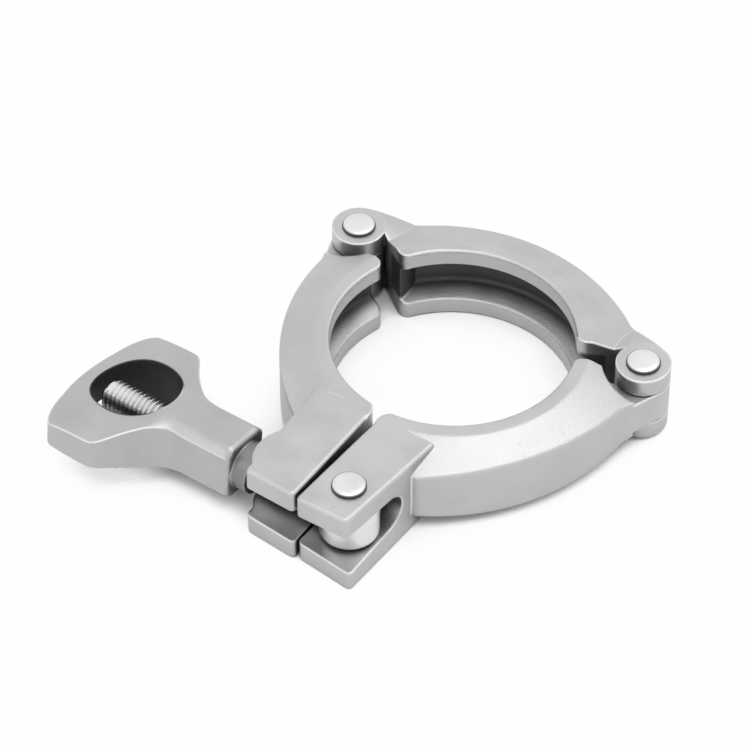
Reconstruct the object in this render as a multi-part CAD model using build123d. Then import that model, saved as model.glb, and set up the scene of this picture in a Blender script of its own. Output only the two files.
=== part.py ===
"""Sanitary hinged clamp for 2 inch tube with 64 mm ferrules.

A rear link carries two arms on riveted hinge pins.  The arms end in slotted lugs that a
swing bolt and its wing nut draw together.  Millimetres and degrees.  The origin is the
centre of the ring, half way between its two faces.  Z is the ring's axis, +Y points to
the middle of the rear link, and the lugs reach towards -Y.
"""
from build123d import *
from math import acos, cos, degrees, radians, sin, tan
import os

# Ring: two lips with a V groove between them
LIP_RADIUS = 28.5        # inner edge of the lips
FACE_HEIGHT = 20.2       # over the flat rims of both lips
RIM_WIDTH = 3.6          # flat rim beside the bore
BEVEL = 20.5             # slope of the faces outside the rims
GROOVE_MOUTH = 11.6      # between the lips at their inner edge
GROOVE_ROOT = 7.6        # between the flanks at the bottom of the groove
GROOVE_RADIUS = 34.0     # bottom of the groove
LIP_EDGE = 0.6           # rounding of the lips' inner edges
RIM_EDGE = 1.5           # rounding between the rims and the sloping faces
ROOT_EDGE = 1.2          # rounding at the bottom of the groove
LIP_CORNER = 2.6         # rounding of the lips' end corners in plan

# Rear link
WALL_EDGE = 0.8          # rounding where the outer wall meets the sloping faces
CROWN_RADIUS = 39.2      # outer wall at the middle of the link
NECK_RADIUS = 42.2       # outer wall beside the hinge ears
NECK_ANGLE = 46.0
LINK_END_ANGLE = 58.8    # end faces, from +Y

# Hinges
HINGE_RADIUS = 44.1      # ring centre to hinge pin
HINGE_ANGLE = 64.8       # hinge pin, from +Y
EAR_RADIUS = 6.4
EAR_HEIGHT = 18.0        # over both ears
EAR_FOOT = 8.0           # how far the ear's foot spreads over the bevel
TONGUE_HEIGHT = 8.6
TONGUE_PLAY = 0.25       # between the tongue and each ear
TURN_PLAY = 0.5          # round the turned ends of the tongues
SHOULDER_RADIUS = 9.6    # hollow that the arm's end keeps round the ear

# Arms
ARM_END_ANGLE = 68.4     # end face beside the hinge, from +Y
HIP_RADIUS = 43.2        # outer wall beside the hinge
HIP_ANGLE = 80.0
WAIST_RADIUS = 40.2      # outer wall where the arm is slimmest
WAIST_ANGLE = 110.0
HEEL_RADIUS = 42.4       # outer wall beside the lug
HEEL_ANGLE = 156.0

# Lugs
LUG_GAP = 2.2            # between the lugs, with the clamp closed on its ferrules
LUG_FRONT = 61.8         # ring centre to the front of the lugs
LUG_WIDTH = 12.8         # at the front
LUG_FLARE = 2.2          # how much wider each lug is at its back
LUG_BACK = 31.0          # ring centre to the back of the lugs, inside the ring
LUG_CORNER = 1.2         # rounding of the lugs' upright edges
LUG_EDGE = 0.8           # rounding of the lugs' face edges
LIP_TURN = 3.5           # rounding where the lips turn into the gap
SEAT_CROWN = 2.0         # how far the nut's round seat stands out of the left lug
SEAT_WIDTH = 14.0
SLOT_HEIGHT = 9.2
SLOT_DEPTH = 19.6        # front of the lug to the slot's round end

# Pins, riveted over at both ends
PIN_DIA = 6.0
PIN_PLAY = 0.05          # radial, in the piece that turns on the pin
HEAD_DIA = 8.6
HEAD_HEIGHT = 1.1
HEAD_CROWN = 0.5         # domed part of the head's height

# Swing bolt, measured along the bolt from its pin
PIN_BACK = 9.3           # front of the lugs to the bolt pin
PIN_SIDE = 6.9           # gap side of the right lug to the bolt pin
EYE_DIA = 13.8
EYE_PLAY = 0.35          # between the eye and each side of the slot
EYE_EDGE = 1.6
SHANK_DIA = 7.9
SHANK_LENGTH = 24.0      # pin to the start of the thread
ROOT_DIA = 6.65          # root of the thread: its ridge isn't part of this solid
THREAD_DIA = 8.0
BOLT_LENGTH = 68.0       # pin to tip
TIP_CHAMFER = 0.8

# Wing nut, measured along the bolt from its pin
SEAT_PLAY = 0.4          # between the nut's nose and its seat on the left lug
NOSE_DIA = 11.6
NOSE_LENGTH = 3.8
BARREL_HALF = 6.9        # half the barrel's width
NUT_RISE = 7.2           # half the nut's height, over its level top and bottom
BARREL_CORNER = 2.7      # slope cut off each long edge of the barrel
BARREL_END = 1.2         # chamfer at the barrel's end by the nose
HEAD_START = 41.0        # where the head starts to grow out of the barrel's level top
NUT_SHOULDER = 46.5      # where the wings leave the barrel
SHOULDER_BLEND = 6.0     # rounding there
NUT_WING = 56.5          # inner end of the wings' tips
NUT_TIP = 69.5           # outer end of the wings' tips
NUT_END = 73.0           # outer edge of the head
END_HALF = 9.0           # half the width of that edge's level part
SPREAD = 39.0            # over both wings
CREST_HALF = 4.2         # half the width of the level top
TIP_RISE = 2.7           # half the wings' height at their tips
END_RISE = 4.2           # half the head's height at its outer edge
TIP_CORNER = 2.0         # rounding of the tips in plan
WINDOW_CENTRE = 60.1
WINDOW_DIA = 21.0
NUT_EDGE = 0.6           # rounding of the nut's cast edges
NUT_TURN = 7.0           # how far the nut stands turned on its thread
BORE_PLAY = 0.08         # radial, over the thread


def polar(radius, angle):
    """Point at an angle from +Y, clockwise seen from above."""
    return Vector(radius * sin(radians(angle)), radius * cos(radians(angle)))


HINGE = polar(HINGE_RADIUS, HINGE_ANGLE)
BOLT_PIN = Vector(LUG_GAP / 2 + PIN_SIDE, PIN_BACK - LUG_FRONT)
SEAT_SIDE = LUG_GAP / 2 + LUG_WIDTH + LUG_FLARE * PIN_BACK / (LUG_FRONT - LUG_BACK) + SEAT_CROWN
NUT_NOSE = BOLT_PIN.X + SEAT_SIDE + SEAT_PLAY


def prism(outline, height):
    """Flat outline made solid, half above and half below the ring's middle."""
    return extrude(outline, amount=height / 2, both=True)


def disc(place, radius, height):
    """Upright disc, half above and half below the ring's middle."""
    return Pos(place.X, place.Y, 0) * Cylinder(radius, height)


def corners_at(outline, *places):
    """Corners of a flat outline that lie at the places given."""
    return [v for v in outline.vertices() if any((Vector(v) - p).length < 0.01 for p in places)]


def touch(centre, radius, outside, side):
    """Where a line from an outside point touches a circle, on the side given by a sign."""
    away = outside - centre
    turn = degrees(acos(radius / away.length))
    return centre + away.normalized().rotate(Axis.Z, side * turn) * radius


def ring_blank():
    """Whole ring with its lips, groove and sloping faces, turned wider than it ends up."""
    top, rim = FACE_HEIGHT / 2, LIP_RADIUS + RIM_WIDTH
    far = HINGE_RADIUS + EAR_RADIUS + EAR_FOOT
    low = top - (far - rim) * tan(radians(BEVEL))
    mouth, root = GROOVE_MOUTH / 2, GROOVE_ROOT / 2
    lips = (LIP_RADIUS, mouth), (LIP_RADIUS, top)
    upper = [(GROOVE_RADIUS, root), *lips, (rim, top), (far, low)]
    lower = [(r, -z) for r, z in reversed(upper)]
    section = make_face(Polyline(*upper, *lower, close=True))
    for places, radius in ((lips, LIP_EDGE), ([(rim, top)], RIM_EDGE), ([(GROOVE_RADIUS, root)], ROOT_EDGE)):
        both = [Vector(r, side * z) for r, z in places for side in (1, -1)]
        section = fillet(corners_at(section, *both), radius)
    return revolve(Plane.XZ * section, Axis.Z)


def ring_plan(outer, start, end):
    """Plan of a ring piece between two end faces, with its own outline outside."""
    first, last = polar(LIP_RADIUS, start), polar(LIP_RADIUS, end)
    inner = ThreePointArc(first, polar(LIP_RADIUS, (start + end) / 2), last)
    ends = Line(first, outer @ 0), Line(outer @ 1, last)
    return make_face(inner.edges() + outer.edges() + [e.edge() for e in ends])


def soften(solid, wall):
    """Round the two long edges where a curved outer wall meets the sloping faces."""
    middle = wall @ 0.5
    long = solid.edges().filter_by(lambda e: abs(e.center().Z) > GROOVE_ROOT / 2 and e.length > wall.length / 2)
    near = long.filter_by(lambda e: Vector(e.center().X - middle.X, e.center().Y - middle.Y).length < 3)
    return fillet(near, WALL_EDGE)


def ear_foot(centre):
    """Cone that carries the ear's height down on to the sloping faces."""
    drop = EAR_FOOT * tan(radians(BEVEL))
    upper = Pos(0, 0, (EAR_HEIGHT - drop) / 2) * Cone(EAR_RADIUS + EAR_FOOT, EAR_RADIUS, drop)
    both = upper + mirror(upper, Plane.XY) + Cylinder(EAR_RADIUS + EAR_FOOT, EAR_HEIGHT - 2 * drop)
    return Pos(centre.X, centre.Y, 0) * both


def rear_link(blank):
    """Middle third of the ring, forked at both ends."""
    hinges = Vector(-HINGE.X, HINGE.Y), HINGE
    sides = []
    for centre, sign in zip(hinges, (-1, 1)):
        neck = polar(NECK_RADIUS, sign * NECK_ANGLE)
        sides.append([polar(HINGE_RADIUS, sign * LINK_END_ANGLE), touch(centre, EAR_RADIUS, neck, -sign), neck])
    crown = ThreePointArc(sides[0][2], polar(CROWN_RADIUS, 0), sides[1][2])
    outer = Wire(Polyline(*sides[0]).edges() + [crown.edge()] + Polyline(*reversed(sides[1])).edges())
    plan = ring_plan(outer, -LINK_END_ANGLE, LINK_END_ANGLE)
    lips = [polar(LIP_RADIUS, side * LINK_END_ANGLE) for side in (-1, 1)]
    plan = fillet(corners_at(plan, *lips), LIP_CORNER)
    for centre in hinges:
        plan += Pos(*centre) * Circle(EAR_RADIUS)
    plan = prism(plan, FACE_HEIGHT + 2)
    link = blank & plan
    for centre in hinges:
        link += ear_foot(centre) & plan
    link = soften(link, crown)
    for centre in hinges:
        link -= disc(centre, EAR_RADIUS + TURN_PLAY, TONGUE_HEIGHT + 2 * TONGUE_PLAY)
        link -= disc(centre, PIN_DIA / 2, FACE_HEIGHT)
    return link


def lug(crown):
    """Block at the end of an arm, on the +X side of the gap, with a round seat standing out by crown."""
    side = LUG_GAP / 2
    front, heel = Vector(side + LUG_WIDTH, -LUG_FRONT), Vector(side + LUG_WIDTH + LUG_FLARE, -LUG_BACK)
    gap = Vector(side, -LUG_FRONT)
    plan = make_face(Polyline(front, heel, (side, -LUG_BACK), gap, close=True))
    plan = fillet(corners_at(plan, front, gap), LUG_CORNER)
    if crown:
        reach = SEAT_SIDE - SEAT_CROWN
        ends = [Vector(reach - 1, BOLT_PIN.Y + s * SEAT_WIDTH / 2) for s in (-1, 1)]
        bow = ThreePointArc(ends[0], (reach + crown, BOLT_PIN.Y), ends[1])
        plan += make_face([bow.edge(), Line(ends[1], ends[0]).edge()])
    block = prism(plan, FACE_HEIGHT)
    rims = block.faces().filter_by(Axis.Z).edges()
    return fillet(rims.filter_by(lambda edge: edge.center().Y < -LUG_BACK - 0.1), LUG_EDGE)


def lip_turn():
    """Cutter that rounds the corner where the lips' inner edge turns into the gap."""
    side = LUG_GAP / 2 + LIP_TURN
    centre = Vector(side, -((LIP_RADIUS + LIP_TURN) ** 2 - side ** 2) ** 0.5)
    corner = Pos(centre.X, centre.Y) * Rectangle(2 * LIP_TURN, 2 * LIP_TURN, align=(Align.MAX, Align.MIN))
    return prism(corner - Pos(centre.X, centre.Y) * Circle(LIP_TURN), FACE_HEIGHT)


def slot():
    """Slot through both lugs for the swing bolt, round at its inner end."""
    end = SLOT_DEPTH - LUG_FRONT - SLOT_HEIGHT / 2
    start = -LUG_FRONT - LUG_CORNER
    wide = 4 * LUG_WIDTH
    straight = Pos(0, (start + end) / 2, 0) * Box(wide, end - start, SLOT_HEIGHT)
    return straight + Pos(0, end, 0) * Rot(0, 90, 0) * Cylinder(SLOT_HEIGHT / 2, wide)


def arm(blank, crown=0.0):
    """Arm on the +X side: a ring piece with a hinge tongue at one end and a lug at the other."""
    hip = polar(HIP_RADIUS, HIP_ANGLE)
    tongue = touch(HINGE, EAR_RADIUS, hip, 1)
    heel = polar(HEEL_RADIUS, HEEL_ANGLE)
    back = ThreePointArc(hip, polar(WAIST_RADIUS, WAIST_ANGLE), heel)
    outer = Wire([Line(tongue, hip).edge(), back.edge(), Line(heel, polar(HEEL_RADIUS, 180)).edge()])
    plan = ring_plan(outer, ARM_END_ANGLE, 180)
    plan = fillet(corners_at(plan, polar(LIP_RADIUS, ARM_END_ANGLE)), LIP_CORNER)
    solid = soften(blank & prism(plan, FACE_HEIGHT + 2), back)
    for side in (-1, 1):
        hollow = Cylinder(SHOULDER_RADIUS, FACE_HEIGHT, align=(Align.CENTER, Align.CENTER, Align.MIN))
        hollow = Pos(HINGE.X, HINGE.Y, TONGUE_HEIGHT / 2) * hollow
        solid -= hollow if side > 0 else mirror(hollow, Plane.XY)
    solid += disc(HINGE, EAR_RADIUS, TONGUE_HEIGHT)
    throat = revolve(Plane.XZ * Rectangle(GROOVE_RADIUS, GROOVE_ROOT, align=(Align.MIN, Align.CENTER)), Axis.Z)
    solid += lug(crown) - throat
    solid -= Pos(LUG_GAP / 2, 0, 0) * Box(200, 200, 200, align=(Align.MAX, Align.CENTER, Align.CENTER))
    solid -= slot() + lip_turn()
    return solid - disc(HINGE, PIN_DIA / 2 + PIN_PLAY, FACE_HEIGHT)


def rivet(place, height, heads):
    """Pin riveted over at the ends named, seen as sides of the ring's middle."""
    radius = HEAD_DIA / 2
    ball = (radius ** 2 + HEAD_CROWN ** 2) / (2 * HEAD_CROWN)
    top = height / 2 + HEAD_HEIGHT
    head = Pos(0, 0, top - HEAD_HEIGHT / 2) * Cylinder(radius, HEAD_HEIGHT) & Pos(0, 0, top - ball) * Sphere(ball)
    pin = Cylinder(PIN_DIA / 2, height)
    for side in heads:
        pin += head if side > 0 else mirror(head, Plane.XY)
    return Pos(place.X, place.Y, 0) * pin


def on_bolt(shape):
    """Carry a shape drawn along +X from the bolt pin to the bolt's place, pointing to -X."""
    return Pos(BOLT_PIN.X, BOLT_PIN.Y, 0) * Rot(0, 0, 180) * shape


def rod(diameter, start, end):
    """Round bar along the bolt between two distances from its pin."""
    return Pos((start + end) / 2, 0, 0) * Rot(0, 90, 0) * Cylinder(diameter / 2, end - start)


def swing_bolt():
    """Eye bolt: the thread's ridge stands outside its root and isn't part of this solid."""
    eye = Cylinder(EYE_DIA / 2, SLOT_HEIGHT - 2 * EYE_PLAY)
    eye = fillet(eye.edges(), EYE_EDGE)
    thread = rod(ROOT_DIA, 0, BOLT_LENGTH)
    thread = chamfer(thread.edges().sort_by(Axis.X)[-1], TIP_CHAMFER)
    bolt = eye + rod(SHANK_DIA, 0, SHANK_LENGTH) + thread
    return on_bolt(bolt - Cylinder(PIN_DIA / 2 + PIN_PLAY, SLOT_HEIGHT))


def nut_head():
    """Winged end of the nut: a bell in plan, level on top and falling away to its tips and its end."""
    half, rise, root = SPREAD / 2, NUT_RISE, BARREL_HALF
    start = HEAD_START
    sides = []
    for s in (-1, 1):
        back = Polyline((start, s * CREST_HALF), (NUT_SHOULDER, s * root), (NUT_WING, s * half), (NUT_TIP, s * half))
        middle = ((NUT_TIP + NUT_END) / 2 + 1, s * (half + END_HALF) / 2)
        bow = ThreePointArc((NUT_TIP, s * half), middle, (NUT_END, s * END_HALF))
        sides += back.edges() + [bow.edge()]
    ends = [Line((x, -y), (x, y)).edge() for x, y in ((start, CREST_HALF), (NUT_END, END_HALF))]
    plan = make_face(sides + ends)
    plan = fillet(corners_at(plan, *[Vector(NUT_SHOULDER, s * root) for s in (-1, 1)]), SHOULDER_BLEND)
    tips = [Vector(x, s * half) for x in (NUT_WING, NUT_TIP) for s in (-1, 1)]
    plan = fillet(corners_at(plan, *tips), TIP_CORNER)
    across = Polygon((half, TIP_RISE), (CREST_HALF, rise), (-CREST_HALF, rise), (-half, TIP_RISE),
                     (-half, -TIP_RISE), (-CREST_HALF, -rise), (CREST_HALF, -rise), (half, -TIP_RISE), align=None)
    along = Polygon((start, rise), (WINDOW_CENTRE, rise), (NUT_END, END_RISE), (NUT_END, -END_RISE),
                    (WINDOW_CENTRE, -rise), (start, -rise), align=None)
    head = prism(plan, 2 * rise)
    head &= Pos(start, 0, 0) * extrude(Plane.YZ * across, amount=NUT_END)
    return head & extrude(Plane.XZ * along, amount=SPREAD, both=True)


def wing_nut():
    """Cast wing nut with an eight-sided barrel and a round window that shows the bolt's thread."""
    start = NUT_NOSE + NOSE_LENGTH
    section = chamfer(Rectangle(2 * BARREL_HALF, 2 * NUT_RISE).vertices(), BARREL_CORNER)
    barrel = Pos(start, 0, 0) * extrude(Plane.YZ * section, amount=WINDOW_CENTRE - start)
    barrel = chamfer(barrel.faces().sort_by(Axis.X)[0].edges(), BARREL_END)
    nut = barrel + nut_head()
    nut -= Pos(WINDOW_CENTRE, 0, 0) * Cylinder(WINDOW_DIA / 2, 2 * NUT_RISE)
    nut = fillet(nut.edges().filter_by(lambda edge: edge.length > 1.5), NUT_EDGE)
    nut += rod(NOSE_DIA, NUT_NOSE, start)
    nut -= rod(THREAD_DIA + 2 * BORE_PLAY, 0, WINDOW_CENTRE)
    return on_bolt(Rot(NUT_TURN, 0, 0) * nut)


blank = ring_blank()
parts = {
    "rear_link": rear_link(blank),
    "right_arm": arm(blank) - disc(BOLT_PIN, PIN_DIA / 2, FACE_HEIGHT),
    "left_arm": mirror(arm(blank, SEAT_CROWN), Plane.YZ),
    "hinge_pin_right": rivet(HINGE, EAR_HEIGHT, (1, -1)),
    "hinge_pin_left": rivet(Vector(-HINGE.X, HINGE.Y), EAR_HEIGHT, (1, -1)),
    "bolt_pin": rivet(BOLT_PIN, FACE_HEIGHT, (1,)),
    "swing_bolt": swing_bolt(),
    "wing_nut": wing_nut(),
}
os.makedirs("parts", exist_ok=True)
for name, shape in parts.items():
    export_step(shape, "parts/" + name + ".step")
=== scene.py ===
# %% [markdown]
# A sanitary hinged clamp holds two tube ends together: three cast pieces of stainless steel make a ring
# with a V groove inside, and a swing bolt with a winged nut draws the ring shut.
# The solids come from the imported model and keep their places. This lesson adds the bolt's thread, which
# is too fine for the solids, draws the wing nut, the rivets and the two arms in their softer cast forms,
# gives every piece its finish, and sets up a plain pale studio.

import math

import bmesh
import bpy
from mathutils import Matrix, Vector


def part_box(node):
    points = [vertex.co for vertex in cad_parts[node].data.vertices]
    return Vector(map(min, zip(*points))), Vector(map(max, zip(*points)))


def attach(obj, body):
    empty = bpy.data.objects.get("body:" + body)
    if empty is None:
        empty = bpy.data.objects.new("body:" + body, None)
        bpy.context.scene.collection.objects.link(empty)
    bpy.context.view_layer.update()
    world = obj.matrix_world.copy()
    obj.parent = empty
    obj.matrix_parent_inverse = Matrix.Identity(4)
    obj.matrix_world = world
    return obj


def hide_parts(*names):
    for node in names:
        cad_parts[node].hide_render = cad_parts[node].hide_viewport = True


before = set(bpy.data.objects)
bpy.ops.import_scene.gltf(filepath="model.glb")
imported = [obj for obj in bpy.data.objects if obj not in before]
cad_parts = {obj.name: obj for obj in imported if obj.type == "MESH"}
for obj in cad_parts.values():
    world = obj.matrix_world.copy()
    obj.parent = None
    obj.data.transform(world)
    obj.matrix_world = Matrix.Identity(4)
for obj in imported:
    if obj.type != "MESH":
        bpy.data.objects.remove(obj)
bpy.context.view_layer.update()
MM = 0.001
print("nodes:", sorted(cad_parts))

# %% [markdown]
# A few measures say where things are: the ring's groove, the bolt's line and the nut's window.
# The bolt's line is read from the swing bolt's own box, so the thread and the nut follow it.

# %% Measures of the clamp
FACE_Z = 10.1 * MM
LIP_RADIUS = 28.5 * MM
GROOVE_RADIUS = 34.0 * MM
GROOVE_HALF = 5.8 * MM

bolt_low, bolt_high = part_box("swing_bolt")
EYE_RADIUS = 6.9 * MM
BOLT_PIN = Vector((bolt_high[0] - EYE_RADIUS, (bolt_low[1] + bolt_high[1]) / 2, 0))
WINDOW_ALONG = 60.1
WINDOW = Vector((BOLT_PIN.x - WINDOW_ALONG * MM, BOLT_PIN.y, 0))
WINDOW_RADIUS = 10.5 * MM
NUT_ROLL = math.radians(7.0)
print("bolt pin at", [round(v / MM, 2) for v in BOLT_PIN])

# %% [markdown]
# The thread is an M8 one: a ridge 1.25 mm apart, wound round the bolt's core. It could be a bump in the
# material, but a bump has no outline, and the thread is seen from the side in the nut's window.
# So one small face, the ridge's section, is spun round the bolt and moved along it at every step.

# %% The bolt's thread
ROOT_RADIUS = 3.325 * MM
CREST_RADIUS = 3.96 * MM
PITCH = 1.25 * MM
THREAD_START = 24.6 * MM
THREAD_END = 67.0 * MM
STEPS_PER_TURN = 28
FOOT_SINK = 0.12 * MM
FOOT_SHARE = 0.96


def finished(bm, name):
    """Make the bmesh an object at the origin, its normals pointing outwards."""
    bmesh.ops.remove_doubles(bm, verts=bm.verts, dist=1e-7)
    bmesh.ops.recalc_face_normals(bm, faces=bm.faces)
    mesh = bpy.data.meshes.new(name)
    bm.to_mesh(mesh)
    bm.free()
    piece = bpy.data.objects.new(name, mesh)
    bpy.context.scene.collection.objects.link(piece)
    return piece


def thread(name):
    """Helical ridge from THREAD_START to THREAD_END along the bolt, which points to -X."""
    turns = (THREAD_END - THREAD_START) / PITCH
    steps = round(turns * STEPS_PER_TURN)
    foot = ROOT_RADIUS - FOOT_SINK
    ridge = [(-0.5, foot), (-0.08, CREST_RADIUS), (0.08, CREST_RADIUS), (0.5, foot)]
    bm = bmesh.new()
    corners = [
        bm.verts.new((BOLT_PIN.x - THREAD_START - along * PITCH * FOOT_SHARE, BOLT_PIN.y, radius))
        for along, radius in ridge
    ]
    face = bm.faces.new(corners)
    bmesh.ops.spin(
        bm,
        geom=[face, *face.edges, *face.verts],
        cent=BOLT_PIN,
        axis=(-1, 0, 0),
        dvec=(-(THREAD_END - THREAD_START) / steps, 0, 0),
        angle=math.tau * turns,
        steps=steps,
        use_duplicate=False,
    )
    return finished(bm, name)


bolt_thread = thread("bolt_thread")
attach(bolt_thread, "swing_bolt")
print("thread faces:", len(bolt_thread.data.polygons))

# %% [markdown]
# The nut is a casting with soft, bulging wings, which flat cuts only come near. Here it is drawn as
# sections across the bolt, from the round nose to the end of the wings, each bridged to the next. A
# section has its half width and a height that falls away softly towards the wings' outline.
# It takes the plain nut's place and rides on the same body, so it still slides on the bolt.

# %% Soft wing nut
NOSE_START, NOSE_END, NOSE_RADIUS = 24.96, 28.76, 5.8
# How strongly the nut's nose gets painted shade.
NOSE_PAINTED_SHADE = 0.55
BORE_RADIUS = 4.3
BARREL_HALF, BARREL_CREST, RISE = 6.9, 4.9, 7.2
NOSE_TURN = 0.8 * math.atan2(4.5, BARREL_HALF)
NECK_START, NECK_STEP, NECK_SECTIONS = 30.0, 0.75, 51
WING_START, WING_END, WING_HALF, WING_TIP = 45.0, 57.0, 20.4, 70.5
WING_FLARE = 1.45
WING_CORNER = 1.4
HEAD_START, HEAD_BLEND, HEAD_END = 41.0, 9.0, 75.0
END_START, END_SECTIONS = 69.0, 30
SLOPE_START, END_DROP, END_CURVE = 54.0, 5.0, 1.9
FLAT_HALF, TIP_DROP, TIP_CURVE = 2.0, 3.6, 1.35
CREASE = 2.5
CUTTER_REACH = 12
ACROSS = [1.0, 0.93, 0.85, 0.76, 0.68, 0.61, 0.5, 0.38, 0.25, 0.12, 0.0]
SIDE = [0.67, 0.33, 0.0]


def smooth(value):
    """Smooth step from 0 to 1."""
    value = min(max(value, 0.0), 1.0)
    return value * value * (3 - 2 * value)


def outline(x):
    """Half the nut's width at a distance along the bolt, in mm, with sharp corners at the wings."""
    if x <= WING_TIP:
        grown = min(max((x - WING_START) / (WING_END - WING_START), 0.0), 1.0)
        return BARREL_HALF + (WING_HALF - BARREL_HALF) * grown ** WING_FLARE
    return WING_HALF * max((HEAD_END - x) / (HEAD_END - WING_TIP), 0.0) ** 0.5


def half_width(x):
    """Half the nut's width, its wings' corners rounded off."""
    reach = min(WING_CORNER, max(HEAD_END - x, 0.0))
    return sum(outline(x + step * reach) for step in (-1.0, -0.5, 0.0, 0.5, 1.0)) / 5


def half_rise(x, y):
    """Half the nut's height at a place in its plan, in mm."""
    barrel = RISE - max(abs(y) - BARREL_CREST, 0.0)
    along = END_DROP * max((x - SLOPE_START) / (HEAD_END - SLOPE_START), 0.0) ** END_CURVE
    across = TIP_DROP * (max(abs(y) - FLAT_HALF, 0.0) / (WING_HALF - FLAT_HALF)) ** TIP_CURVE
    head = RISE - (along ** CREASE + across ** CREASE) ** (1 / CREASE)
    grown = smooth((x - HEAD_START) / HEAD_BLEND)
    return barrel + (head - barrel) * grown


def section(x, shrink=0.0):
    """Closed outline across the bolt: over the top, down a side, under the bottom and up again."""
    if x < NOSE_END:
        count = 4 * (len(ACROSS) + 2)
        angles = [math.tau * k / count + NOSE_TURN for k in range(count)]
        return [(NOSE_RADIUS * math.cos(a), NOSE_RADIUS * math.sin(a)) for a in angles]
    wide = half_width(x) - shrink
    top = [(wide * s, half_rise(x, wide * s) - shrink) for s in ACROSS]
    top += [(-y, z) for y, z in reversed(top[:-1])]
    wall = [(-wide, top[0][1] * s) for s in SIDE]
    wall += [(-wide, -z) for _, z in reversed(wall[:-1])]
    return top + wall + [(-y, -z) for y, z in top] + [(-y, -z) for y, z in wall]


def nut_stations():
    """Distances along the bolt with how far each section is shrunk, closer together where the nut bends."""
    barrel = [(NOSE_END, 1.1), (NOSE_END + 0.35, 0.45), (NOSE_END + 1.1, 0.0)]
    neck = [(NECK_START + k * NECK_STEP, 0.0) for k in range(1, NECK_SECTIONS + 1)]
    turns = [math.radians(k * 90.0 / END_SECTIONS) for k in range(END_SECTIONS)]
    end = [(END_START + (HEAD_END - END_START) * math.sin(turn), 0.0) for turn in turns]
    return barrel + neck + end


def placed(x, y, z):
    """Point of the nut, given along and across the bolt in mm, where it stands in the clamp."""
    level = y * math.cos(NUT_ROLL) - z * math.sin(NUT_ROLL)
    height = y * math.sin(NUT_ROLL) + z * math.cos(NUT_ROLL)
    return BOLT_PIN.x - x * MM, BOLT_PIN.y - level * MM, height * MM


def bridged(bm, rings):
    """Bridge closed rings of points one to the next and close both ends."""
    loops = [[bm.verts.new(point) for point in ring] for ring in rings]
    for one, two in zip(loops, loops[1:]):
        for k in range(len(one)):
            bm.faces.new((one[k - 1], one[k], two[k], two[k - 1]))
    bm.faces.new(loops[0])
    bm.faces.new(loops[-1])


def round_bar(name, low, high, radius, steps=96):
    """Closed bar between two points, as a cutter."""
    low, high = Vector(low), Vector(high)
    bm = bmesh.new()
    turn = (high - low).to_track_quat("Z", "Y").to_matrix().to_4x4()
    place = Matrix.Translation((low + high) / 2) @ turn
    bmesh.ops.create_cone(
        bm,
        cap_ends=True,
        segments=steps,
        radius1=radius,
        radius2=radius,
        depth=(high - low).length,
        matrix=place,
    )
    return finished(bm, name)


def cut(piece, cutters):
    """Take the cutters out of a piece and remove them."""
    for cutter in cutters:
        tool = piece.modifiers.new(cutter.name, "BOOLEAN")
        tool.operation, tool.solver, tool.object = "DIFFERENCE", "EXACT", cutter
    bpy.context.view_layer.update()
    shaped = bpy.data.meshes.new_from_object(piece.evaluated_get(bpy.context.evaluated_depsgraph_get()))
    piece.modifiers.clear()
    piece.data = shaped
    for cutter in cutters:
        bpy.data.objects.remove(cutter)


def shade_soft(piece, limit=33.0, painted_shade_until=None):
    """Shade smooth, sharp where faces meet at more than the limit, and mark an end for painted shade."""
    bm = bmesh.new()
    bm.from_mesh(piece.data)
    dark_mottle_and_painted_shade = bm.verts.layers.float.get("dark_mottle_and_painted_shade") or bm.verts.layers.float.new("dark_mottle_and_painted_shade")
    if painted_shade_until is not None:
        # Corners of the nose are marked for painted shade.
        for corner in bm.verts:
            corner[dark_mottle_and_painted_shade] = NOSE_PAINTED_SHADE if BOLT_PIN.x - corner.co.x < painted_shade_until else 0.0
    for face in bm.faces:
        face.smooth = True
    for edge in bm.edges:
        edge.smooth = edge.calc_face_angle(0.0) < math.radians(limit)
    bm.to_mesh(piece.data)
    bm.free()


def soft_nut(name):
    """Wing nut with soft wings, its window and its bore."""
    rings = []
    for x, shrink in [(NOSE_START, 0.0), (NOSE_END - 0.01, 0.0)] + nut_stations():
        rings.append([placed(x, y, z) for y, z in section(x, shrink)])
    bm = bmesh.new()
    bridged(bm, rings)
    piece = finished(bm, name)
    under = placed(WINDOW_ALONG, 0, -CUTTER_REACH)
    over = placed(WINDOW_ALONG, 0, CUTTER_REACH)
    window = round_bar("window_cutter", under, over, WINDOW_RADIUS, 128)
    mouth = placed(NOSE_START - 1, 0, 0)
    bore = round_bar("bore_cutter", mouth, placed(WINDOW_ALONG, 0, 0), BORE_RADIUS * MM)
    cut(piece, [window, bore])
    shade_soft(piece, painted_shade_until=(NOSE_END + 0.05) * MM)
    return piece


nut_casting = soft_nut("nut_casting")
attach(nut_casting, "wing_nut")
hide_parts("wing_nut")
print("nut faces:", len(nut_casting.data.polygons))

# %% [markdown]
# The hinge pins and the bolt pin are riveted over into button heads that stand a little proud. Their
# sides are steep and get painted shade, so a button is spun from its profile, shank and all, and a
# number on its corners says where that painted shade is.

# %% Rivets
HEAD_HEIGHT = 1.1
CROWN = [(0.0, HEAD_HEIGHT), (2.0, 1.06), (3.0, 0.97), (3.55, 0.82)]
BUTTON = CROWN + [(3.9, 0.6), (4.0, 0.35), (3.95, 0.12), (3.6, 0.0)]
# Beyond this radius, in mm, a button's side gets painted shade.
PAINTED_SHADE_FROM = 3.75
SHANK = 3.0
UNDERCUT = 0.02


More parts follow.
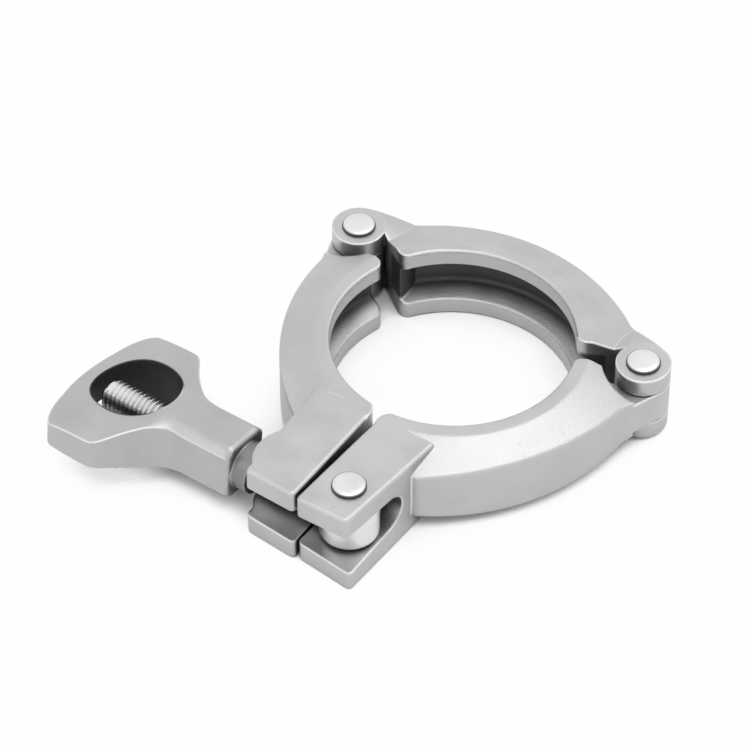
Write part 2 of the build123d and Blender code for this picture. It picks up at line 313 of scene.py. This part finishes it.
def rivet(name, node, body, heads):
    """Riveted pin on an upright line: a button at each of its heads, and a shank between."""
    low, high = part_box(node)
    centre = Vector(((low[0] + high[0]) / 2, (low[1] + high[1]) / 2, 0))
    above = high[2] / MM - HEAD_HEIGHT
    below = above if heads == 2 else -low[2] / MM
    profile = [(r, above + z) for r, z in BUTTON] + [(SHANK, above - UNDERCUT)]
    if heads == 2:
        profile += [(SHANK, -below + UNDERCUT)] + [(r, -below - z) for r, z in reversed(BUTTON)]
    else:
        profile += [(SHANK, -below), (0.0, -below)]
    bm = bmesh.new()
    corners = [bm.verts.new((centre.x + r * MM, centre.y, z * MM)) for r, z in profile]
    edges = [bm.edges.new(pair) for pair in zip(corners, corners[1:])]
    bmesh.ops.spin(
        bm,
        geom=corners + edges,
        cent=centre,
        axis=(0, 0, 1),
        angle=math.tau,
        steps=72,
        use_merge=True,
        use_duplicate=False,
    )
    # The steep sides of the buttons are marked for painted shade.
    dark_mottle_and_painted_shade = bm.verts.layers.float.new("dark_mottle_and_painted_shade")
    for corner in bm.verts:
        away = math.hypot(corner.co.x - centre.x, corner.co.y - centre.y) / MM
        corner[dark_mottle_and_painted_shade] = 1.0 if away > PAINTED_SHADE_FROM else 0.0
    piece = finished(bm, name)
    shade_soft(piece, 50.0)
    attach(piece, body)
    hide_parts(node)
    return piece


rivets = [
    rivet("rivet_left", "hinge_pin_left", "rear_link", 2),
    rivet("rivet_right", "hinge_pin_right", "rear_link", 2),
    rivet("rivet_bolt", "bolt_pin", "right_arm", 1),
]
print("rivets:", [piece.name for piece in rivets])

# %% [markdown]
# The clamped lugs lean together: the gap between them closes towards the front, and the lower outer
# corner of the right one is drawn out. Each arm is drawn again from its solid's mesh, with the corners
# of its plates pulled by up to two millimetres. A pull fades along and across the lug, and it leaves
# the bolt pin's hole alone. A pull gives its place across the clamp, the upper or lower plate (1 or -1),
# how far back it reaches, and how much it moves the corner across and along, in mm.

# %% Lugs that lean together
FRONT = 61.8
INNER, OUTER = 1.1, 13.9
PLATE_LEVEL = 4.0
PIN_KEEP = 3.4
PULLS = {
    "right_arm": [
        (OUTER, -1, 18.0, 1.9, -1.5),
        (INNER, -1, 30.0, -0.7, -0.1),
        (INNER, 1, 30.0, -0.8, -0.5),
    ],
    "left_arm": [
        (-INNER, -1, 30.0, 1.0, -0.9),
        (-INNER, 1, 30.0, 0.7, -0.2),
    ],
}


def pulled(name, node):
    """Copy of a node's shape with the corners of its lug's plates pulled."""
    bm = bmesh.new()
    bm.from_mesh(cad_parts[node].data)
    for corner in bm.verts:
        x, y, z = corner.co / MM
        if math.hypot(x - BOLT_PIN.x / MM, y - BOLT_PIN.y / MM) < PIN_KEEP:
            continue
        shift = Vector((0, 0, 0))
        for place, side, reach, across, along in PULLS[node]:
            beside = max(1 - abs(x - place) / (OUTER - INNER), 0.0)
            before = min(max(1 - (y + FRONT) / reach, 0.0), 1.0)
            level = min(max(side * z / PLATE_LEVEL, 0.0), 1.0)
            shift += Vector((across, along, 0)) * beside * before * level
        corner.co += shift * MM
    piece = finished(bm, name)
    shade_soft(piece, 30.0)
    piece.modifiers.new("flat_faces", "WEIGHTED_NORMAL").keep_sharp = True
    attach(piece, node)
    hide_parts(node)
    return piece


arms = [pulled("left_casting", "left_arm"), pulled("right_casting", "right_arm")]
print("arms:", [piece.name for piece in arms])

# %% [markdown]
# Every finish shares a few effects. Tumbled castings have softly rounded edges that shine, so an edge
# group rounds the normal near sharp edges and gives a mask of where they are. A cast skin is never quite
# even, so a skin group gives a slow mottle, fine grain and small pits. Each group is built once.

# %% Node helpers


def new_group(name, inputs, outputs):
    """Empty shader node group with float inputs (name, default) and outputs (name, socket type)."""
    group = bpy.data.node_groups.new(name, "ShaderNodeTree")
    for label, default in inputs:
        socket = group.interface.new_socket(label, in_out="INPUT", socket_type="NodeSocketFloat")
        socket.default_value = default
    for label, kind in outputs:
        group.interface.new_socket(label, in_out="OUTPUT", socket_type=kind)
    return group, group.nodes.new("NodeGroupInput"), group.nodes.new("NodeGroupOutput")


def add(tree, kind, links=None, **settings):
    """Add a node, set its properties, and fill its inputs with values or links."""
    node = tree.nodes.new(kind)
    for key, value in settings.items():
        setattr(node, key, value)
    for key, value in (links or {}).items():
        if isinstance(value, bpy.types.NodeSocket):
            tree.links.new(value, node.inputs[key])
        else:
            node.inputs[key].default_value = value
    return node


def maths(tree, operation, first, second=0.0):
    """Math node's output."""
    return add(tree, "ShaderNodeMath", {0: first, 1: second}, operation=operation).outputs[0]


def ramp(tree, value, low, high, start=0.0, end=1.0):
    """Value carried from low..high to start..end, smoothly and clamped."""
    links = {"Value": value, "From Min": low, "From Max": high, "To Min": start, "To Max": end}
    return add(tree, "ShaderNodeMapRange", links, interpolation_type="SMOOTHSTEP").outputs[0]


print("helpers ready")

# %% [markdown]
# A sharp edge is found by comparing the rounded normal with the plain one: where they differ, the
# surface is near an edge. The same difference drives a painted highlight there, a paler colour, and
# smoother wear.

# %% Edge group


def edge_group():
    """Rounded normal near sharp edges, and a mask that is 1 on them."""
    group, source, result = new_group(
        "rounded_edges", [("Radius", 0.0006)], [("Normal", "NodeSocketVector"), ("Edge", "NodeSocketFloat")]
    )
    soft = add(group, "ShaderNodeBevel", {"Radius": source.outputs["Radius"]}, samples=6)
    plain = add(group, "ShaderNodeNewGeometry")
    normals = {0: soft.outputs[0], 1: plain.outputs["Normal"]}
    likeness = add(group, "ShaderNodeVectorMath", normals, operation="DOT_PRODUCT")
    away = maths(group, "SUBTRACT", 1.0, likeness.outputs["Value"])
    group.links.new(soft.outputs[0], result.inputs["Normal"])
    group.links.new(ramp(group, away, 0.003, 0.06), result.inputs["Edge"])
    return group


EDGES = edge_group()
print("group:", EDGES.name)

# %% [markdown]
# The skin group mixes three sizes: a slow mottle over centimetres, a fine grain, and a few pits that
# keep to patches, as the tumbling leaves them.

# %% Cast skin group


def skin_group():
    """Slow mottle, fine grain and scattered pits of a tumbled casting, on object coordinates."""
    group, source, result = new_group(
        "cast_skin",
        [("Mottle size", 90.0), ("Grain size", 1500.0)],
        [("Mottle", "NodeSocketFloat"), ("Grain", "NodeSocketFloat"), ("Height", "NodeSocketFloat")],
    )
    place = add(group, "ShaderNodeTexCoord").outputs["Object"]
    broad = {"Vector": place, "Scale": source.outputs["Mottle size"], "Detail": 3.0}
    slow = add(group, "ShaderNodeTexNoise", broad)
    grain = {"Vector": place, "Scale": source.outputs["Grain size"], "Detail": 4.0}
    fine = add(group, "ShaderNodeTexNoise", grain)
    pits = add(group, "ShaderNodeTexVoronoi", {"Vector": place, "Scale": 420.0, "Randomness": 1.0})
    pit = ramp(group, pits.outputs["Distance"], 0.03, 0.16)
    patch = ramp(group, slow.outputs["Fac"], 0.45, 0.6)
    depth = maths(group, "MULTIPLY", maths(group, "SUBTRACT", 1.0, pit), patch)
    bumps = maths(group, "ADD", maths(group, "MULTIPLY", slow.outputs["Fac"], 2.0), fine.outputs["Fac"])
    group.links.new(slow.outputs["Fac"], result.inputs["Mottle"])
    group.links.new(fine.outputs["Fac"], result.inputs["Grain"])
    group.links.new(maths(group, "SUBTRACT", bumps, depth), result.inputs["Height"])
    return group


SKIN = skin_group()
print("group:", SKIN.name)

# %% [markdown]
# The tumbling stones never reach inside the groove and the window, so the steel stays rougher there,
# and it gets painted shade, a darker colour. A group measures how far a point is from a line and how
# high it is, and masks a ring-shaped pocket. The line stands upright, or leans with the rolled nut. In
# the steel recipe below, an ambient occlusion node finds the other corners, which get painted shade too.

# %% Pocket group


def shade_pocket_group():
    """Painted-shade mask that is 1 in a ring-shaped pocket round an upright line, rolled about the bolt if
    asked.
    """
    group, source, result = new_group(
        "shade_pocket",
        [
            ("Centre X", 0.0),
            ("Centre Y", 0.0),
            ("Centre Z", 0.0),
            ("Roll", 0.0),
            ("Inner", 0.0),
            ("Outer", 0.03),
            ("Half height", 0.005),
            ("Blur", 0.0008),
        ],
        [("Mask", "NodeSocketFloat")],
    )
    turned_place = {
        "Vector": add(group, "ShaderNodeTexCoord").outputs["Object"],
        "Center": tuple(BOLT_PIN),
        "Angle": source.outputs["Roll"],
    }
    upright = add(group, "ShaderNodeVectorRotate", turned_place, rotation_type="X_AXIS")
    place = add(group, "ShaderNodeSeparateXYZ", {0: upright.outputs[0]})
    across = maths(group, "SUBTRACT", place.outputs["X"], source.outputs["Centre X"])
    along = maths(group, "SUBTRACT", place.outputs["Y"], source.outputs["Centre Y"])
    across_squared = maths(group, "MULTIPLY", across, across)
    along_squared = maths(group, "MULTIPLY", along, along)
    radius = maths(group, "SQRT", maths(group, "ADD", across_squared, along_squared))
    blur = source.outputs["Blur"]
    within = ramp(group, maths(group, "SUBTRACT", source.outputs["Outer"], radius), 0.0, blur)
    beyond = ramp(group, maths(group, "SUBTRACT", radius, source.outputs["Inner"]), 0.0, blur)
    raised = maths(group, "SUBTRACT", place.outputs["Z"], source.outputs["Centre Z"])
    height = maths(group, "ABSOLUTE", raised)
    level = ramp(group, maths(group, "SUBTRACT", source.outputs["Half height"], height), 0.0, blur)
    mask = maths(group, "MULTIPLY", maths(group, "MULTIPLY", within, beyond), level)
    group.links.new(mask, result.inputs["Mask"])
    return group


SHADE_POCKET = shade_pocket_group()
print("group:", SHADE_POCKET.name)

# %% [markdown]
# Tumbled stainless steel is pale, even and satin: fully metallic, with a broad soft highlight.
# One recipe makes every finish. It mixes a main colour with a paler one on the edges, a painted
# highlight, and a dark one in the pockets and corners, painted shade, lets the mottle stir the
# roughness, and feeds the grain to a faint bump.

# %% Steel recipe
MOTTLE_DARK, MOTTLE_PALE = 0.94, 1.03
# The edge mask paints a highlight, a paler colour, and makes the edges smoother, as wear.
EDGE_HIGHLIGHT_AND_WEAR = 0.95
EDGE_POLISH, POCKET_DULLNESS = 0.08, 0.15
CORNER_REACH = 12 * MM


def steel(name, colour, highlight_colour, shade_colour, roughness, edge_radius, relief, shade_pocket=None, shade_attribute=None):
    """Satin steel material: painted highlight on edges, painted shade in pockets, uneven roughness, faint
    relief.
    """
    material = bpy.data.materials.new(name)
    material.use_nodes = True
    tree = material.node_tree
    shader = tree.nodes["Principled BSDF"]
    edges = add(tree, "ShaderNodeGroup", node_tree=EDGES)
    edges.inputs["Radius"].default_value = edge_radius
    skin = add(tree, "ShaderNodeGroup", node_tree=SKIN)
    stir = ramp(tree, skin.outputs["Mottle"], 0.3, 0.7)
    highlight_and_wear = maths(tree, "MULTIPLY", edges.outputs["Edge"], EDGE_HIGHLIGHT_AND_WEAR)
    # Painted shade: an ambient occlusion node darkens the colour in corners and creases, and makes them
    # rougher.
    corner_shade = add(tree, "ShaderNodeAmbientOcclusion", {"Distance": CORNER_REACH}, samples=6)
    painted_shade = ramp(tree, corner_shade.outputs["AO"], 0.5, 0.15)
    # A pocket, such as the groove or the nut's window, adds painted shade.
    if shade_pocket:
        pocket_shade = add(tree, "ShaderNodeGroup", node_tree=SHADE_POCKET)
        for label, value in shade_pocket.items():
            pocket_shade.inputs[label].default_value = value
        painted_shade = maths(tree, "MAXIMUM", painted_shade, pocket_shade.outputs["Mask"])
    # A marked attribute on the corners adds painted shade there.
    if shade_attribute:
        marked_shade = add(tree, "ShaderNodeAttribute", attribute_name=shade_attribute)
        painted_shade = maths(tree, "MAXIMUM", painted_shade, marked_shade.outputs["Fac"])
    dark_mottle_and_painted_shade = (*(c * MOTTLE_DARK for c in colour), 1)
    pale = (*(c * MOTTLE_PALE for c in colour), 1)
    base = add(tree, "ShaderNodeMix", {0: stir, 6: dark_mottle_and_painted_shade, 7: pale}, data_type="RGBA")
    # Painted highlight: the edge mask mixes in the paler edge colour.
    edged = {0: highlight_and_wear, 6: base.outputs[2], 7: (*highlight_colour, 1)}
    highlighted = add(tree, "ShaderNodeMix", edged, data_type="RGBA")
    # Painted shade: corners, pockets and marked places are mixed towards the dark colour.
    shade_mix = {0: painted_shade, 6: highlighted.outputs[2], 7: (*shade_colour, 1)}
    final = add(tree, "ShaderNodeMix", shade_mix, data_type="RGBA")
    tree.links.new(final.outputs[2], shader.inputs["Base Color"])
    spread = ramp(tree, skin.outputs["Mottle"], 0.3, 0.7, roughness - 0.04, roughness + 0.05)
    rough = maths(tree, "ADD", spread, maths(tree, "MULTIPLY", painted_shade, POCKET_DULLNESS))
    finish = maths(tree, "SUBTRACT", rough, maths(tree, "MULTIPLY", highlight_and_wear, EDGE_POLISH))
    tree.links.new(finish, shader.inputs["Roughness"])
    shader.inputs["Metallic"].default_value = 1.0
    grain = {"Height": skin.outputs["Height"], "Normal": edges.outputs["Normal"]}
    height = add(tree, "ShaderNodeBump", {"Strength": 1.0, "Distance": relief, **grain})
    tree.links.new(height.outputs[0], shader.inputs["Normal"])
    return material


print("steel recipe ready")

# %% [markdown]
# Four finishes cover the clamp: dull castings, the nut, the turned bolt with its bright thread, and the
# rivets' polished buttons. The groove and the nut's window are pockets that get painted shade.

# %% Paint the nodes
CAST = (0.60, 0.60, 0.595)
NUT_CAST = (0.54, 0.54, 0.535)
BRIGHT = (0.84, 0.84, 0.83)
# The edge colour is a painted highlight.
EDGE_HIGHLIGHT = (0.93, 0.93, 0.92)
# The three dark colours below are painted shade, mixed into corners, pockets and marked places.
PAINTED_SHADE_GREY = (0.11, 0.11, 0.11)
NUT_PAINTED_SHADE_GREY = (0.08, 0.08, 0.08)
BOLT_PAINTED_SHADE_GREY = (0.2, 0.2, 0.2)

# The groove's pocket of painted shade.
GROOVE_SHADE = {
    "Centre Z": 0.9 * MM,
    "Inner": LIP_RADIUS + 0.2 * MM,
    "Outer": GROOVE_RADIUS + 2.0 * MM,
    "Half height": GROOVE_HALF + 0.3 * MM,
    "Blur": 1.2 * MM,
}
# The nut's window's pocket of painted shade.
WINDOW_SHADE = {
    "Centre X": WINDOW.x,
    "Centre Y": WINDOW.y,
    "Roll": NUT_ROLL,
    "Outer": WINDOW_RADIUS + 0.5 * MM,
    "Half height": 7.0 * MM,
    "Blur": 0.4 * MM,
}
cast = steel("cast_steel", CAST, EDGE_HIGHLIGHT, PAINTED_SHADE_GREY, 0.40, 0.8 * MM, 0.05 * MM, GROOVE_SHADE)
nut = steel("nut_steel", NUT_CAST, EDGE_HIGHLIGHT, NUT_PAINTED_SHADE_GREY, 0.36, 0.7 * MM, 0.05 * MM, WINDOW_SHADE, "dark_mottle_and_painted_shade")
turned = steel("bolt_steel", BRIGHT, EDGE_HIGHLIGHT, BOLT_PAINTED_SHADE_GREY, 0.30, 0.12 * MM, 0.012 * MM)
riveted = steel("pin_steel", BRIGHT, EDGE_HIGHLIGHT, PAINTED_SHADE_GREY, 0.34, 0.3 * MM, 0.03 * MM, None, "dark_mottle_and_painted_shade")

FINISHES = {
    "rear_link": cast,
    "left_arm": cast,
    "right_arm": cast,
    "wing_nut": nut,
    "swing_bolt": turned,
    "bolt_pin": riveted,
    "hinge_pin_left": riveted,
    "hinge_pin_right": riveted,
}
for node, finish in FINISHES.items():
    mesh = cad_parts[node].data
    mesh.materials.clear()
    mesh.materials.append(finish)
bolt_thread.data.materials.append(turned)
nut_casting.data.materials.append(nut)
for piece in rivets:
    piece.data.materials.append(riveted)
for piece in arms:
    piece.data.materials.clear()
    piece.data.materials.append(cast)
print("painted", len(FINISHES), "nodes")

# %% [markdown]
# The studio is a pale floor just under the clamp. Where the clamp is far, the camera sees it as plain
# white and reflections see it half as bright. Close to the clamp it is a matt floor, which keeps the
# clamp's shadow, and for all other rays it is matt too and sends soft light up to the clamp's sides.

# %% Floor
WHITE, MIRRORED = 0.97, 0.5
SHADOW_REACH = 40 * MM
FLOOR_HALF = 6.0
FLOOR_GAP = 0.02 * MM


def floor_material():
    """Pale floor that looks white to the camera away from the clamp and keeps its shadow close by."""
    material = bpy.data.materials.new("studio_floor")
    material.use_nodes = True
    tree = material.node_tree
    tree.nodes.remove(tree.nodes["Principled BSDF"])
    matt = add(tree, "ShaderNodeBsdfDiffuse", {"Color": (0.8, 0.8, 0.8, 1)})
    seen = add(tree, "ShaderNodeEmission", {"Color": (1, 1, 1, 1), "Strength": 1.0})
    rays = add(tree, "ShaderNodeLightPath")
    shade = add(tree, "ShaderNodeAmbientOcclusion", {"Distance": SHADOW_REACH}, samples=8)
    open_air = ramp(tree, shade.outputs["AO"], 0.2, 0.46)
    mirrored = maths(tree, "MULTIPLY", rays.outputs["Is Glossy Ray"], MIRRORED)
    direct = maths(tree, "MULTIPLY", rays.outputs["Is Camera Ray"], WHITE)
    part = maths(tree, "MULTIPLY", maths(tree, "MAXIMUM", direct, mirrored), open_air)
    mixed = add(tree, "ShaderNodeMixShader", {0: part, 1: matt.outputs[0], 2: seen.outputs[0]})
    tree.links.new(mixed.outputs[0], tree.nodes["Material Output"].inputs["Surface"])
    return material


def floor(half, level):
    """Square floor, stage only."""
    bm = bmesh.new()
    bmesh.ops.create_grid(bm, x_segments=1, y_segments=1, size=half)
    bmesh.ops.translate(bm, verts=bm.verts, vec=(0, 0, level))
    piece = finished(bm, "studio_floor")
    piece.data.materials.append(floor_material())
    return piece


studio_floor = floor(FLOOR_HALF, -FACE_Z - FLOOR_GAP)
print("floor at", round(studio_floor.data.vertices[0].co.z / MM, 2), "mm")

# %% [markdown]
# The light is a plain product studio: an even pale room, one soft box nearly overhead, one high behind
# the clamp on the right, and a weak one from the front left.

# %% World and lamps


def soft_box(name, azimuth, elevation, distance, size, power):
    """Square lamp that looks at the clamp from a direction, azimuth 0 being the -Y side."""
    lamp = bpy.data.lights.new(name, "AREA")
    lamp.shape = "SQUARE"
    lamp.size = size
    lamp.energy = power
    body = bpy.data.objects.new(name, lamp)
    a, e = math.radians(azimuth), math.radians(elevation)
    towards = Vector((math.sin(a) * math.cos(e), -math.cos(a) * math.cos(e), math.sin(e)))
    body.location = towards * distance
    body.rotation_euler = towards.to_track_quat("Z", "Y").to_euler()
    bpy.context.scene.collection.objects.link(body)
    return body


world = bpy.data.worlds.new("studio")
world.use_nodes = True
world.node_tree.nodes["Background"].inputs["Color"].default_value = (0.9, 0.9, 0.9, 1)
world.node_tree.nodes["Background"].inputs["Strength"].default_value = 1.0
bpy.context.scene.world = world

LAMP_DISTANCE = 0.9
soft_box("overhead", 35, 82, LAMP_DISTANCE, 0.5, 0.9)
soft_box("high_right", 150, 64, LAMP_DISTANCE, 0.5, 0.85)
soft_box("front_left", -30, 36, LAMP_DISTANCE, 0.4, 0.3)
print("lamps:", len(bpy.data.lights))

# %% [markdown]
# The camera stands far away with a long lens, so the ring is drawn with little perspective, and looks
# down at 45 degrees from a little to the right of the lugs.

# %% Camera
LENS = 187.9
DISTANCE = 900 * MM
AZIMUTH, ELEVATION = math.radians(35.2), math.radians(45.0)
AIM_LEFT, AIM_DOWN = 17.98 * MM, 8.99 * MM

right = Vector((math.cos(AZIMUTH), math.sin(AZIMUTH), 0))
level = math.cos(ELEVATION)
back = Vector((math.sin(AZIMUTH) * level, -math.cos(AZIMUTH) * level, math.sin(ELEVATION)))
up = back.cross(right)
eye = Vector((0, 0, FACE_Z)) - right * AIM_LEFT - up * AIM_DOWN + back * DISTANCE

lens = bpy.data.cameras.new("camera")
lens.lens = LENS
lens.sensor_width = 36.0
lens.clip_start, lens.clip_end = 0.05, 20.0
camera = bpy.data.objects.new("camera", lens)
camera.matrix_world = Matrix.Translation(eye) @ Matrix((right, up, back)).transposed().to_4x4()
bpy.context.scene.collection.objects.link(camera)
bpy.context.scene.camera = camera
bpy.context.scene.view_settings.view_transform = "Standard"
print("camera at", [round(v, 3) for v in eye])
